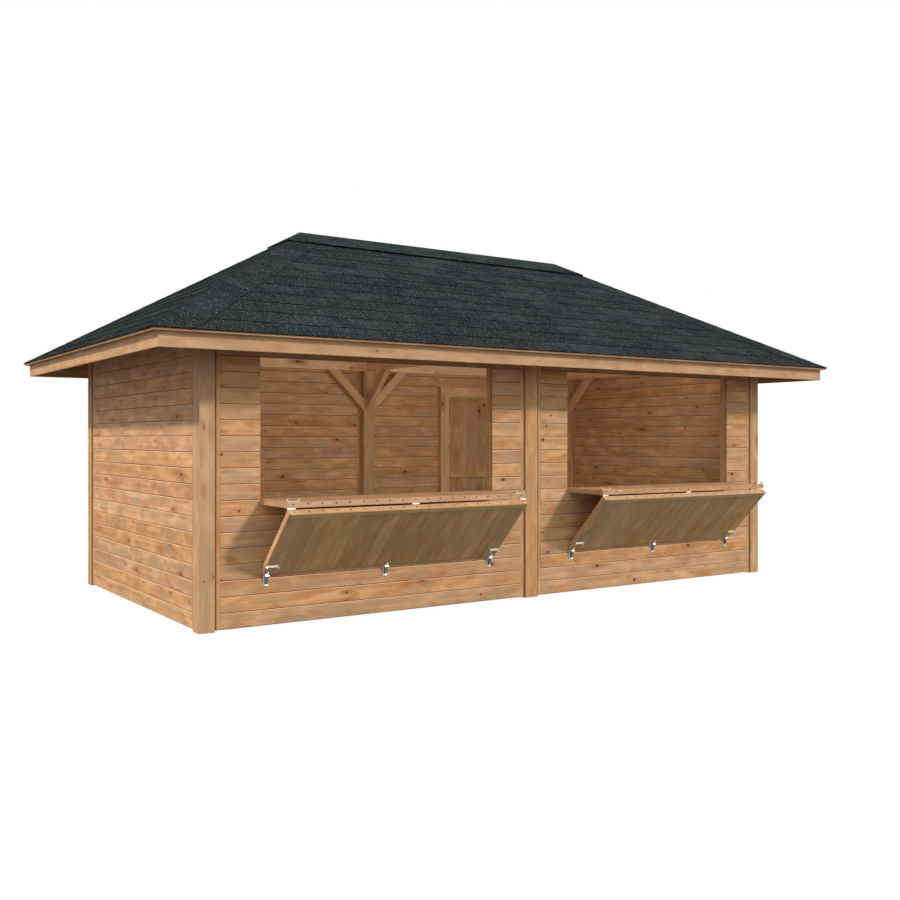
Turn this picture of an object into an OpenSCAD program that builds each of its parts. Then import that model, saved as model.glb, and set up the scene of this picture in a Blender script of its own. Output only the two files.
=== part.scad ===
// Timber market hut: post and plate frame, board walls, two serving counters, hipped shingle roof.
// Millimetres. Z is up, X runs along the hut, the serving side faces -Y, the origin is on the ground.

/* [Plan] */
// Length over the corner posts
hut_l = 6000; // [5000:50:8000]
// Depth over the corner posts
hut_w = 3000; // [2600:50:4000]

/* [Frame] */
// Side of a square post
post_s = 120; // [100:5:150]
// Width of a middle post along the wall
middle_post_w = 135; // [100:5:160]
// Height of the plates, the beams on top of the posts
plate_h = 120; // [90:5:160]
// Width of the tie beam between the middle posts
tie_w = 70; // [50:5:110]
// Length of a brace along its post and along its plate
brace_leg = 430; // [350:10:500]
// Face width of a brace
brace_w = 92; // [70:2:110]
// Thickness of a brace
brace_t = 60; // [45:5:90]

/* [Board walls] */
// Cover height of one wall board
board_pitch = 116; // [100:1:125]
// Thickness of the wall boards
board_t = 28; // [18:1:40]
// Set-back of the boards from the outer face of the posts
wall_recess = 12; // [6:1:18]
// Height of the lowest board above the ground
ground_gap = 10; // [5:1:40]
// Board rows below the serving openings
sill_rows = 8; // [7:1:9]
// Board rows up to the head of openings and door frame
head_rows = 17; // [16:1:18]
// Plain wall from the head of the openings up to the plates
head_strip = 148; // [120:2:200]
// Width of the boarded strip beside a serving opening
side_strip = 350; // [250:10:500]
// Side of the studs and rails behind the edge of an opening
stud_s = 58; // [40:2:66]

/* [Serving counters] */
// Reach of a counter in front of the boards
counter_d = 462; // [400:2:464]
// Thickness of counter and flap
counter_t = 43; // [34:1:45]
// Height of the counter's top above the sill
counter_lift = 4; // [0:1:10]
// Clearance at each end of a counter
counter_side = 3; // [2:1:8]
// Length of the flap that props the counter
flap_len = 658; // [620:2:700]
// Gap at the fold between counter and flap
fold_gap = 11; // [8:1:14]
// Thickness of the hinge leaves at the fold
hinge_leaf_t = 2.5; // [1.5:0.5:4]
// Length of a hinge at the fold
hinge_len = 60; // [40:5:90]
// Span of a locking bar bracket
bracket_l = 92; // [70:2:120]
// Width of the bracket's steel strip
bracket_w = 22; // [16:1:30]
// Thickness of the bracket's steel strip
bracket_t = 4; // [3:0.5:6]
// Height of the bracket's upturned ends
bracket_h = 22; // [15:1:30]
// Width of a flap latch
latch_w = 36; // [28:1:44]
// Height of the latch plate on the wall
latch_h = 84; // [70:2:100]
// Inset of the outer latches from the ends of the flap
latch_inset = 38; // [30:2:80]
// Length of a latch hook on the flap's outer face
hook_l = 26; // [18:1:40]

/* [Door] */
// Clear width between the door jambs
door_w = 884; // [780:4:960]
// Face width of jambs and head
jamb_w = 88; // [70:2:100]
// Depth of jambs and head from the outer face of the boards
jamb_d = 86; // [74:2:100]
// Running gap round the door leaf
door_gap = 5; // [5:1:8]
// Gap under the door leaf
door_foot = 25; // [15:1:40]
// Thickness of the leaf's upright boards
leaf_t = 20; // [16:1:26]
// Thickness of the leaf's inner frame
rail_t = 28; // [20:1:32]
// Width of the leaf's stiles and top rail
stile_w = 72; // [55:1:90]
// Height of the middle rail's underside
mid_rail_z = 920; // [800:10:1100]
// Height of the middle rail
mid_rail_h = 78; // [60:2:100]
// Width of the stop strips
stop_w = 24; // [18:1:30]
// Radius of the hinge pins
pin_r = 7; // [5:0.5:9]
// Radial play of the strap's eye on its pin
pin_play = 0.05; // [0.02:0.01:0.1]
// Wall of the strap's eye
eye_wall = 4; // [3:0.5:6]
// Height of an eye
eye_h = 40; // [30:2:60]
// Length of a strap
strap_l = 320; // [200:10:500]
// Thickness of straps and pin plates
strap_t = 5; // [4:0.5:6]
// Inset of the outer hinges from the leaf's top and from the ground
hinge_inset = 240; // [160:10:320]
// Height of the door handle
handle_z = 1040; // [950:10:1150]
// Height of the handle's plate
handle_plate_h = 150; // [100:5:220]
// Length of the handle's grip
grip_l = 120; // [90:5:150]

/* [Roof] */
// Pitch of the four slopes in degrees
roof_pitch = 30; // [22:0.5:38]
// Reach of the roof boards beyond the posts
eaves = 473; // [445:1:600]
// Reach of the fascia's face beyond the posts
fascia_out = 434; // [380:2:436]
// Thickness of the fascia boards
fascia_t = 20; // [16:1:28]
// Height of the fascia boards
fascia_h = 128; // [90:2:150]
// Thickness of the soffit boards
soffit_t = 18; // [12:1:24]
// Thickness of the roof boards
deck_t = 17; // [14:1:32]
// Thickness of the shingle covering
cover_t = 6; // [4:1:12]
// Drip of the shingles past the roof boards
cover_drip = 8; // [4:1:12]
// Reach of the ridge cap down each slope, in plan
cap_reach = 226; // [150:2:300]
// Thickness of the ridge cap
cap_t = 14; // [5:1:20]
// Bedding gap between the layers of the roof
bed_gap = 0.2; // [0.1:0.1:0.5]
// Depth of the rafters
rafter_d = 95; // [70:5:110]
// Width of the rafters and of the ridge beam
rafter_w = 45; // [35:1:60]
// Depth of the ridge beam
ridge_d = 160; // [130:5:220]
// Greatest spacing of the rafters
rafter_step = 750; // [600:10:900]

/* [Hidden] */
$fn = 48;

wood = "#c48f5f";
shade_wood = "#a87a50";
steel = "#c9ccd0";
shingle = "#2c3436";

hl = hut_l / 2;
hw = hut_w / 2;
sill_z = ground_gap + sill_rows * board_pitch;
head_z = ground_gap + head_rows * board_pitch;
post_h = head_z + head_strip;
plate_z = post_h + plate_h;
face_y = hw - wall_recess;
inner_y = face_y - board_t;
face_x = hl - wall_recess;
bay_in = middle_post_w / 2;
bay_out = hl - post_s;
open_in = bay_in + side_strip;
open_out = bay_out - side_strip;
open_mid = (open_in + open_out) / 2;
post_in = hw - post_s;

counter_z = sill_z + counter_lift;
counter_front = face_y + counter_d;
counter_w = open_out - open_in - 2 * counter_side;
fold_z = counter_z - counter_t - fold_gap;
flap_tilt = acos(counter_d / flap_len);
flap_foot_z = fold_z - flap_len * sin(flap_tilt);
// the outer edge of the flap's foot
foot_out = face_y + counter_t * sin(flap_tilt);
foot_z = flap_foot_z - counter_t * cos(flap_tilt);
rows = [-1, 0, 1];
latch_plate_t = 4;
latch_block_h = 16;
latch_gap = 4;
lever_w = 22;
lever_foot = 12;
hook_w = 14;
hook_t = 4;
hinge_leaf = 40;
knuckle_play = 0.2;
bracket_end = 4;
bracket_back = 8;
bracket_foot = 100;
// how far a cutting shape reaches past what it cuts
over = 10;

door_x = hl / 2;
door_l = door_x - door_w / 2;
door_r = door_x + door_w / 2;
door_top = head_z - jamb_w;
stop_t = 30;
stop_joint = 1;
rail_in = face_y - leaf_t - rail_t;
leaf_l = door_l + door_gap;
leaf_r = door_r - door_gap;
leaf_top = door_top - door_gap;
eye_r = pin_r + pin_play + eye_wall;
pin_x = door_l + door_gap / 2;
eye_off = 1;
pin_y = face_y + eye_r + eye_off;
pin_zs = [hinge_inset, leaf_top / 2, leaf_top - hinge_inset];
pin_plate = 60;
pin_seat = 0.5;
pin_rise = 6;
handle_plate_w = 40;
grip_r = 9;
grip_out = 46;

slope = tan(roof_pitch);
deck_v = deck_t / cos(roof_pitch);
cover_v = cover_t / cos(roof_pitch);
cap_v = cap_t / cos(roof_pitch);
rafter_v = rafter_d / cos(roof_pitch);
cover_top = bed_gap + cover_v;
rafter_top = -deck_v - bed_gap;
deck_l = hl + eaves;
deck_w = hw + eaves;
ridge_half = deck_l - deck_w;
soffit_top = head_z + soffit_t;
// underside of the roof boards at their edge: they rest on the fascia's outer top corner
deck_under = head_z + fascia_h - (eaves - fascia_out) * slope;
deck_top = deck_under + deck_v;
tail = fascia_out - fascia_t;

// Small box from its lowest to its highest corner
module block(a, b) {
    translate(a) cube([b[0] - a[0], b[1] - a[1], b[2] - a[2]]);
}

// Copies at +x and -x, and at the four corners
module both_ends() {
    children();
    mirror([1, 0, 0]) children();
}
module both_sides() {
    children();
    mirror([0, 1, 0]) children();
}

// A profile drawn in (out, up) from the front, pushed along X from x0 to x1
module along_x(x0, x1) {
    translate([x0, 0, 0]) rotate([90, 0, 90]) linear_extrude(x1 - x0) children();
}

// A profile drawn in (x, up), pushed along Y from y0 to y1
module along_y(y0, y1) {
    translate([0, y1, 0]) rotate([90, 0, 0]) linear_extrude(y1 - y0) children();
}

// Brace between a post side at 0 and the plate underside at the given height, leaning out to +x
module brace_shape(top) {
    cut = brace_w * sqrt(2);
    polygon([[0, top - brace_leg], [brace_leg, top], [brace_leg - cut, top], [0, top - brace_leg + cut]]);
}

// Frame
module corner_posts() {
    color(wood) both_ends() both_sides() block([bay_out, post_in, 0], [hl, hw, post_h]);
}
module middle_posts() {
    color(wood) both_sides() block([-bay_in, post_in, 0], [bay_in, hw, post_h]);
}
module long_plates() {
    color(wood) both_sides() block([-hl, post_in, post_h], [hl, hw, plate_z]);
}
module end_plates() {
    color(wood) both_ends() block([bay_out, -post_in, post_h], [hl, post_in, plate_z]);
}
module tie_beam() {
    color(wood) block([-tie_w / 2, -post_in, post_h], [tie_w / 2, post_in, plate_z]);
}
module back_braces() {
    color(wood) both_ends() {
        translate([bay_in, 0, 0]) along_y(post_in, post_in + brace_t) brace_shape(post_h);
        translate([bay_out, 0, 0]) mirror([1, 0, 0])
            along_y(post_in, post_in + brace_t) brace_shape(post_h);
    }
}
module end_braces() {
    color(wood) both_ends() translate([0, post_in, 0]) mirror([0, 1, 0])
        along_x(bay_out, bay_out + brace_t) brace_shape(post_h);
}
module tie_brace() {
    color(wood) translate([0, post_in, 0]) mirror([0, 1, 0])
        along_x(-brace_t / 2, brace_t / 2) brace_shape(post_h);
}

// Board walls, each a bay of boards between two posts
module left_wall() {
    color(wood) block([-face_x, -post_in, ground_gap], [board_t - face_x, post_in, post_h]);
}
module right_wall() {
    color(wood) block([face_x - board_t, -post_in, ground_gap], [face_x, post_in, post_h]);
}
module back_bay(x0, x1, z0) {
    color(wood) block([x0, inner_y, z0], [x1, face_y, post_h]);
}
module back_wall_left() {
    back_bay(-bay_out, -bay_in, ground_gap);
}
module back_wall_middle() {
    back_bay(bay_in, door_l - jamb_w, ground_gap);
}
module back_wall_right() {
    back_bay(door_r + jamb_w, bay_out, ground_gap);
}
module back_wall_over_door() {
    back_bay(door_l - jamb_w, door_r + jamb_w, head_z);
}
module front_boards(x0, x1, z0, z1) {
    color(wood) both_ends() block([x0, -face_y, z0], [x1, -inner_y, z1]);
}
module front_aprons() {
    front_boards(bay_in, bay_out, ground_gap, sill_z);
}
module front_side_boards() {
    front_boards(bay_in, open_in, sill_z, head_z);
    front_boards(open_out, bay_out, sill_z, head_z);
}
module front_headers() {
    front_boards(bay_in, bay_out, head_z, post_h);
}
module front_stud(x0, x1, z0, z1) {
    color(shade_wood) both_ends() block([x0, -inner_y, z0], [x1, stud_s - inner_y, z1]);
}
module opening_studs() {
    front_stud(open_in - stud_s, open_in, ground_gap, post_h);
    front_stud(open_out, open_out + stud_s, ground_gap, post_h);
}
module sill_rails() {
    front_stud(open_in, open_out, sill_z - stud_s, sill_z);
}

// Serving counters: a shelf in front of the sill, propped by a flap that leans back to the wall
module counter(x0) {
    color(wood) block([x0 + counter_side, -counter_front, counter_z - counter_t],
        [x0 + counter_side + counter_w, -face_y, counter_z]);
}
module left_counter() {
    counter(-open_out);
}
module right_counter() {
    counter(open_in);
}
// Places what is drawn along +y (down the flap) and +z (its inner face) on the flap's top inner edge
module on_flap() {
    translate([0, -counter_front, fold_z]) rotate([-flap_tilt, 0, 0]) children();
}
module flap(x0) {
    color(wood) on_flap() block([x0 + counter_side, 0, -counter_t],
        [x0 + counter_side + counter_w, flap_len, 0]);
}
module left_flap() {
    flap(-open_out);
}
module right_flap() {
    flap(open_in);
}
module fold_hinge(x) {
    under = counter_z - counter_t;
    translate([x - hinge_len / 2, 0, 0]) {
        translate([0, -counter_front, fold_z + fold_gap / 2]) rotate([0, 90, 0])
            cylinder(r = fold_gap / 2 - knuckle_play, h = hinge_len);
        block([0, -counter_front, under - hinge_leaf_t], [hinge_len, hinge_leaf - counter_front, under]);
        on_flap() block([0, 0, 0], [hinge_len, hinge_leaf, hinge_leaf_t]);
        block([0, -counter_front, fold_z + hinge_leaf_t],
            [hinge_len, hinge_leaf_t - counter_front, under]);
    }
}
module fold_hinges() {
    reach = counter_w / 2 - hinge_len / 2;
    color(steel) both_ends() for (row = rows) fold_hinge(open_mid + row * reach);
}
// Strip of steel with upturned ends that holds a locking bar
module bar_bracket() {
    difference() {
        block([-bracket_l / 2, 0, 0], [bracket_l / 2, bracket_w, bracket_h]);
        block([bracket_t - bracket_l / 2, -over, bracket_t],
            [bracket_l / 2 - bracket_t, bracket_w + over, bracket_h + over]);
    }
}
module bar_brackets() {
    reach = counter_w / 2 - bracket_l / 2 - bracket_end;
    color(steel) both_ends() for (side = [-1, 1]) translate([open_mid + side * reach, 0, 0]) {
        translate([0, bracket_back - counter_front, counter_z]) bar_bracket();
        on_flap() translate([0, flap_len - bracket_foot, -counter_t]) mirror([0, 0, 1]) bar_bracket();
    }
}
// Toggle latch: a plate on the boards with a block at its top, a lever below the block, and a hook that
// runs out of the block and up the outer face of the flap
module flap_latch() {
    top = foot_z - latch_gap;
    block_z = top - latch_block_h;
    block_out = foot_out + hook_t;
    lever_z = top - latch_h + lever_foot;
    plate_out = face_y + latch_plate_t;
    along_x(-latch_w / 2, latch_w / 2) polygon([[-face_y, top - latch_h], [-face_y, top],
        [-block_out, top], [-block_out, block_z], [-plate_out, block_z], [-plate_out, top - latch_h]]);
    along_x(-lever_w / 2, lever_w / 2) polygon([[-face_y, lever_z], [-face_y, top],
        [-block_out + hook_t, block_z], [-plate_out - lever_foot, lever_z]]);
    on_flap() block([-hook_w / 2, flap_len - hook_l, -counter_t - hook_t],
        [hook_w / 2, flap_len + (latch_gap + latch_block_h / 2) / sin(flap_tilt), -counter_t]);
}
module flap_latches() {
    reach = counter_w / 2 - latch_inset;
    color(steel) both_ends() for (row = rows)
        translate([open_mid + row * reach, 0, 0]) flap_latch();
}

// Door at the back: rebated frame, ledged leaf, strap hinges on pins
module door_jambs() {
    color(wood) {
        block([door_l - jamb_w, face_y - jamb_d, ground_gap], [door_l, face_y, head_z]);
        block([door_r, face_y - jamb_d, ground_gap], [door_r + jamb_w, face_y, head_z]);
    }
}
module door_head() {
    color(wood) block([door_l, face_y - jamb_d, door_top], [door_r, face_y, head_z]);
}
module door_stops() {
    y1 = rail_in - door_gap;
    y0 = y1 - stop_t;
    color(shade_wood) {
        block([door_l, y0, ground_gap], [door_l + stop_w, y1, door_top]);
        block([door_r - stop_w, y0, ground_gap], [door_r, y1, door_top]);
        block([door_l + stop_w + stop_joint, y0, door_top - stop_w],
            [door_r - stop_w - stop_joint, y1, door_top]);
    }
}
// Pin plate on the jamb: the pin stands on a collar that carries the strap's eye
module door_pins() {
    color(steel) for (z = pin_zs) {
        translate([pin_x, pin_y, z - eye_h]) cylinder(r = eye_r, h = eye_h);
        translate([pin_x, pin_y, z - eye_h]) cylinder(r = pin_r, h = 2 * eye_h + pin_rise);
        block([pin_x - pin_plate, face_y, z - eye_h], [pin_x, face_y + strap_t, z]);
    }
}
module door_leaf() {
    color(wood) block([leaf_l, face_y - leaf_t, door_foot], [leaf_r, face_y, leaf_top]);
}
module door_rails() {
    color(shade_wood) difference() {
        block([leaf_l, rail_in, door_foot], [leaf_r, face_y - leaf_t, leaf_top]);
        block([leaf_l + stile_w, rail_in - over, mid_rail_z + mid_rail_h],
            [leaf_r - stile_w, face_y, leaf_top - stile_w]);
        block([leaf_l + stile_w, rail_in - over, door_foot + stile_w],
            [leaf_r - stile_w, face_y, mid_rail_z]);
    }
}
module door_straps() {
    color(steel) for (z = pin_zs) difference() {
        union() {
            translate([pin_x, pin_y, z + pin_seat]) cylinder(r = eye_r, h = eye_h);
            block([leaf_l, face_y, z + pin_seat],
                [leaf_l + strap_l, face_y + strap_t, z + pin_seat + eye_h]);
        }
        translate([pin_x, pin_y, z]) cylinder(r = pin_r + pin_play, h = 2 * eye_h);
    }
}
module door_handle() {
    x = leaf_r - stile_w / 2;
    color(steel) {
        block([x - handle_plate_w / 2, face_y, handle_z - handle_plate_h / 2],
            [x + handle_plate_w / 2, face_y + strap_t, handle_z + handle_plate_h / 2]);
        translate([x, face_y, handle_z]) rotate([-90, 0, 0]) cylinder(r = grip_r, h = grip_out);
        translate([x + grip_r, face_y + grip_out, handle_z]) rotate([0, -90, 0])
            cylinder(r = grip_r, h = grip_l);
    }
}

// Roof. The space below the four slopes, lifted off the top of the roof boards and grown in plan
module under_roof(lift, grow) {
    l = deck_l + grow;
    w = deck_w + grow;
    edge = deck_top + lift - grow * slope;
    top = deck_top + lift + deck_w * slope;
    intersection() {
        along_x(-l, l) polygon([[-w, 0], [w, 0], [w, edge], [0, top], [-w, edge]]);
        along_y(-w, w)
            polygon([[-l, 0], [l, 0], [l, edge], [ridge_half, top], [-ridge_half, top], [-l, edge]]);
    }
}
// A layer between two heights above the top of the roof boards
module layer(low, high, grow) {
    difference() {
        under_roof(high, grow);
        under_roof(low, grow + over);
    }
}
// Plan of the front slope and of the right slope, up to the hips
module front_plan() {
    polygon([[-deck_l, -deck_w], [deck_l, -deck_w], [ridge_half, 0], [-ridge_half, 0]]);
}
module right_plan() {
    polygon([[deck_l, -deck_w], [deck_l, deck_w], [ridge_half, 0]]);
}
module column() {
    linear_extrude(deck_top + deck_w) children();
}
module deck() {
    intersection() {
        layer(-deck_v, 0, 0);
        column() children();
    }
}
module roof_front() {
    color(wood) deck() front_plan();
}
module roof_back() {
    color(wood) deck() mirror([0, 1]) front_plan();
}
module roof_right() {
    color(wood) deck() right_plan();
}
module roof_left() {
    color(wood) deck() mirror([1, 0]) right_plan();
}
module roof_covering() {
    color(shingle) layer(bed_gap, cover_top, cover_drip);
}
module ridge_cap() {
    color(shingle) layer(cover_top + bed_gap, cover_top + bed_gap + cap_v, cap_reach - deck_w);
}
// Fascia boards with mitred corners
module fascia(half, out) {
    translate([0, 0, head_z]) linear_extrude(fascia_h)
        polygon([[-half, -out], [half, -out],
            [half - fascia_t, fascia_t - out], [fascia_t - half, fascia_t - out]]);
}
module long_fascias() {
    color(wood) both_sides() fascia(hl + fascia_out, hw + fascia_out);
}
module end_fascias() {
    color(wood) both_ends() rotate([0, 0, 90]) fascia(hw + fascia_out, hl + fascia_out);
}
module posts_cut() {
    both_ends() both_sides() block([bay_out, post_in, 0], [hl, hw, post_h]);
    both_sides() block([-bay_in, post_in, 0], [bay_in, hw, post_h]);
}
module long_soffits() {
    color(shade_wood) both_sides() difference() {
        block([-hl - tail, face_y, head_z], [hl + tail, hw + tail, soffit_top]);
        posts_cut();
    }
}
module end_soffits() {
    color(shade_wood) both_ends() difference() {
        block([face_x, -face_y, head_z], [hl + tail, face_y, soffit_top]);
        posts_cut();
    }
}
module ridge_box() {
    top = deck_under + deck_w * slope;
    block([-ridge_half - rafter_w, -rafter_w / 2, top - ridge_d],
        [ridge_half + rafter_w, rafter_w / 2, top]);
}
module ridge_beam() {
    color(shade_wood) intersection() {
        ridge_box();
        under_roof(rafter_top, 0);
    }
}
// Layer below the roof boards that the rafters fill, cut round plates, soffit and ridge beam
module rafter_layer() {
    difference() {
        layer(rafter_top - rafter_v, rafter_top, tail - eaves);
        block([-deck_l, -deck_w, 0], [deck_l, deck_w, soffit_top]);
        both_sides() block([-hl, post_in, 0], [hl, hw, plate_z]);
        both_ends() block([bay_out, -post_in, 0], [hl, post_in, plate_z]);
        ridge_box();
    }
}
// Plan of the hip rafter at the front right
module hip_plan() {
    intersection() {
        translate([ridge_half, 0]) rotate(-45) translate([0, -rafter_w / 2]) square([2 * deck_w, rafter_w]);
        translate([0, -deck_w]) square([deck_l, deck_w]);
    }
}
module hip_plans() {
    for (a = [0, 1], b = [0, 1]) mirror([a, 0]) mirror([0, b]) hip_plan();
}
module hip_rafters() {
    color(shade_wood) intersection() {
        rafter_layer();
        column() hip_plans();
    }
}
// Rafters of the long slopes stand either side of the middle, those of the ends either side of the ridge
module rafters() {
    long_n = floor(hl / rafter_step);
    end_n = ceil(hw / rafter_step) - 1;
    color(shade_wood) intersection() {
        rafter_layer();
        column() difference() {
            union() {
                for (side = [0, 1]) mirror([0, side]) intersection() {
                    front_plan();
                    for (i = [-long_n + 1 : long_n - 1])
                        translate([i * hl / long_n - rafter_w / 2, -deck_w]) square([rafter_w, deck_w]);
                }
                for (side = [0, 1]) mirror([side, 0]) intersection() {
                    right_plan();
                    for (i = [-end_n : end_n])
                        translate([0, i * hw / (end_n + 1) - rafter_w / 2]) square([deck_l, rafter_w]);
                }
            }
            hip_plans();
        }
    }
}

corner_posts();
middle_posts();
long_plates();
end_plates();
tie_beam();
back_braces();
end_braces();
tie_brace();
left_wall();
right_wall();
back_wall_left();
back_wall_middle();
back_wall_right();
back_wall_over_door();
front_aprons();
front_side_boards();
front_headers();
opening_studs();
sill_rails();
left_counter();
right_counter();
left_flap();
right_flap();
fold_hinges();
bar_brackets();
flap_latches();
door_jambs();
door_head();
door_stops();
door_pins();
door_leaf();
door_rails();
door_straps();
door_handle();
long_fascias();
end_fascias();
long_soffits();
end_soffits();
ridge_beam();
hip_rafters();
rafters();
roof_front();
roof_back();
roof_left();
roof_right();
roof_covering();
ridge_cap();
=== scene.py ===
import math
import random

import bmesh
import bpy
from mathutils import Matrix, Vector


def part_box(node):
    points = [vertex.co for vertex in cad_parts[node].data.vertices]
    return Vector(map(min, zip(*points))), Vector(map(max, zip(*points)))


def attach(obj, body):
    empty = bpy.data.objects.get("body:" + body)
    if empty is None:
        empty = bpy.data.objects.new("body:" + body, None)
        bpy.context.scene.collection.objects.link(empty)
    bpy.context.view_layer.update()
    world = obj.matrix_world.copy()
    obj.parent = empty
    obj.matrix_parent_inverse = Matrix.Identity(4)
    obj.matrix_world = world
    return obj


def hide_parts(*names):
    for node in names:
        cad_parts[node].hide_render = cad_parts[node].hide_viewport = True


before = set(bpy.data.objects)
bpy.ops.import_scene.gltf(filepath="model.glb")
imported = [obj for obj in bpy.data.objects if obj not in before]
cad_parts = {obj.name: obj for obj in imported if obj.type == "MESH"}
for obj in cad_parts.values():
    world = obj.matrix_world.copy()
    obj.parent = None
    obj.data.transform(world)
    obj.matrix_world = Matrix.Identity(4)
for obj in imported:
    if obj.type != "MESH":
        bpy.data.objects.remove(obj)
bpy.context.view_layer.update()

# Posts: six square sticks of planed softwood that stand on the ground, one at each corner and one in the
# middle of each long side. A plane has eased their long edges.
half_l, half_w, post_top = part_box("corner_posts")[1]
post_side = half_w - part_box("tie_beam")[1].y
bay_in, bay_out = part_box("middle_posts")[1].x, half_l - post_side
post_ease = 0.006
along_x, along_y, along_z = Vector((1, 0, 0)), Vector((0, 1, 0)), Vector((0, 0, 1))
rng = random.Random(26)


def workpiece():
    """An empty mesh that can hold fibre and tone."""
    mesh = bmesh.new()
    mesh.loops.layers.uv.new("grain")
    mesh.loops.layers.float_color.new("tone")
    return mesh


def lay_grain(mesh, faces, along, shaded_chamfers=(), lit_chamfers=()):
    """Lays the fibre of one stick in metres along its length, from a random spot, and gives it its own tone.
    The tone's last number is 1 on plain faces, 0.5 on upward chamfers, which get a painted highlight, and 0
    on downward chamfers, which get painted shade."""
    fibre = mesh.loops.layers.uv["grain"]
    tone = mesh.loops.layers.float_color["tone"]
    start_u, start_v = rng.uniform(0, 40), rng.uniform(0, 40)
    shade = [rng.random(), rng.random(), rng.random()]
    for face in faces:
        face.normal_update()
        side = face.normal.cross(along)
        length = along
        if side.length < 0.5:
            side = face.normal.orthogonal().normalized()
            length = face.normal.cross(side)
        mark = 0.0 if face in shaded_chamfers else 0.5 if face in lit_chamfers else 1.0
        for loop in face.loops:
            spot = loop.vert.co
            loop[fibre].uv = (start_u + spot.dot(length), start_v + spot.dot(side))
            loop[tone] = shade + [mark]


def timber(mesh, low, high, along, ease, place=None):
    """One planed stick between two corners: a box with its long edges eased, set where it is fixed."""
    known = set(mesh.faces)
    corners = bmesh.ops.create_cube(mesh, size=1.0)["verts"]
    bmesh.ops.scale(mesh, vec=Vector(high) - Vector(low), verts=corners)
    bmesh.ops.translate(mesh, vec=(Vector(high) + Vector(low)) / 2, verts=corners)
    edges = {bitumen_black_and_painted_shade for corner in corners for bitumen_black_and_painted_shade in corner.link_edges}
    long_edges = [e for e in edges if abs((e.verts[1].co - e.verts[0].co).normalized().dot(along)) > 0.9]
    bmesh.ops.bevel(mesh, geom=long_edges, offset=ease, segments=2, profile=0.5, affect="EDGES", material=-1)
    fresh = [face for face in mesh.faces if face not in known]
    for face in fresh:
        face.normal_update()
    eased = [face for face in fresh if max(map(abs, face.normal)) < 0.99]
    # chamfers that face down are marked for painted shade, chamfers that face up for a painted highlight
    shaded_chamfers = {face for face in eased if face.normal.z < -0.05}
    lit_chamfers = {face for face in eased if face.normal.z > 0.05}
    if place:
        bmesh.ops.transform(mesh, matrix=place, verts=list({v for face in fresh for v in face.verts}))
        along = place.to_3x3() @ along
    lay_grain(mesh, fresh, along, shaded_chamfers, lit_chamfers)
    return fresh


def piece(name, mesh, material, body, slot, *nodes):
    """A finished mesh as a named piece that rides on a body and stands for its nodes."""
    data = bpy.data.meshes.new(name)
    mesh.to_mesh(data)
    mesh.free()
    data.materials.append(material)
    made = bpy.data.objects.new(name, data)
    bpy.context.scene.collection.objects.link(made)
    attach(made, body)
    if nodes:
        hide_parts(*nodes)
    return made


def add(tree, kind, inputs=None, **settings):
    """One shader node with its settings, its inputs set to values or wired from other sockets."""
    made = tree.nodes.new("ShaderNode" + kind)
    for key, value in settings.items():
        setattr(made, key, value)
    for place, value in (inputs or {}).items():
        if isinstance(value, bpy.types.NodeSocket):
            tree.links.new(value, made.inputs[place])
        else:
            made.inputs[place].default_value = value
    return made


def noise(tree, place, stretch, detail, distortion=0.0):
    """Smooth noise on a place that is stretched first, in cells a metre."""
    spread = add(tree, "Mapping", {"Vector": place, "Scale": stretch}).outputs[0]
    inputs = {"Vector": spread, "Scale": 1.0, "Detail": detail, "Distortion": distortion}
    return add(tree, "TexNoise", inputs).outputs[0]


def remap(tree, value, low, high, new_low, new_high):
    """A value taken smoothly from one range to another."""
    inputs = {0: value, 1: low, 2: high, 3: new_low, 4: new_high}
    return add(tree, "MapRange", inputs, interpolation_type="SMOOTHSTEP").outputs[0]


def mixed(tree, factor, first, second, how="MIX"):
    """Two colours mixed by a factor."""
    return add(tree, "Mix", {0: factor, 6: first, 7: second}, data_type="RGBA", blend_type=how).outputs[2]


def calc(tree, how, first, second=0.0):
    """One sum on two numbers."""
    return add(tree, "Math", {0: first, 1: second}, operation=how).outputs[0]


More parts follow.
